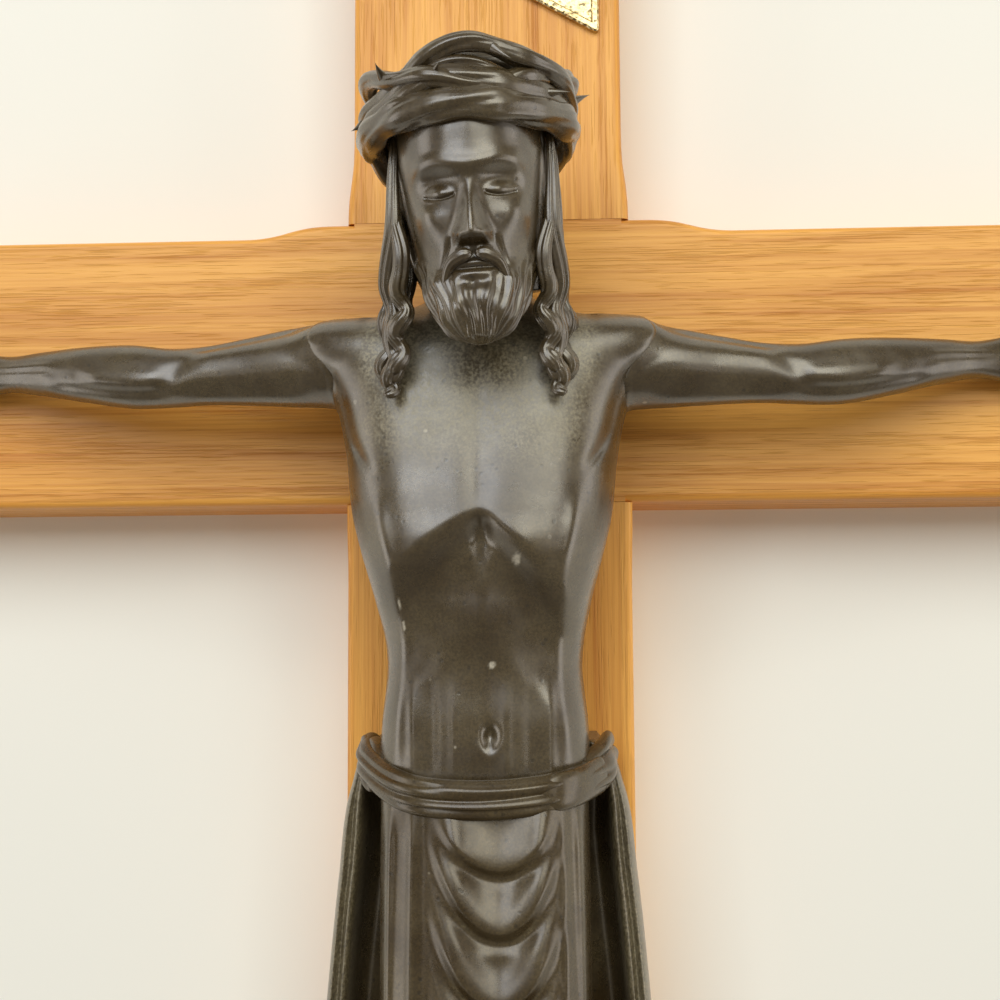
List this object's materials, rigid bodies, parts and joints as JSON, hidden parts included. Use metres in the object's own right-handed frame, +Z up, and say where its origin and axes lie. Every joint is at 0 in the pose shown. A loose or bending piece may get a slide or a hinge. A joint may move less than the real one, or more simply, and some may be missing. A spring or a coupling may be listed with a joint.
{
  "type": "wall crucifix",
  "caption": "Wall crucifix: half-lapped oak cross with a cast dark-bronze figure, crown of thorns and slanted brass title plate, hung by a keyhole plate let into the back.",
  "frame": {"origin": "middle of the crossing on the back (wall) plane", "axes": "+Z up the cross, front faces -Y, +X to the viewer's right"},
  "size_m": [0.19, 0.056, 0.305],
  "materials": {
    "oak": "clear satin varnish over golden oak",
    "dark_bronze": "dark bronze paint over a zinc casting, satin",
    "brass": "pebbled field with a bevelled rim",
    "steel": "zinc plated"
  },
  "bodies": {
    "root": {"upright_beam": "oak", "cross_beam": "oak", "corpus_body": "dark_bronze", "left_arm": "dark_bronze", "right_arm": "dark_bronze", "crown": "dark_bronze", "title_plate": "brass", "title_pin_left": "brass", "title_pin_right": "brass", "nail_left_hand": "dark_bronze", "nail_right_hand": "dark_bronze", "nail_left_foot": "dark_bronze", "nail_right_foot": "dark_bronze", "hanger_plate": "steel", "hanger_screw_top": "steel", "hanger_screw_bottom": "steel", "corpus_screw_upper": "steel", "corpus_screw_lower": "steel"}
  },
  "joints": []
}
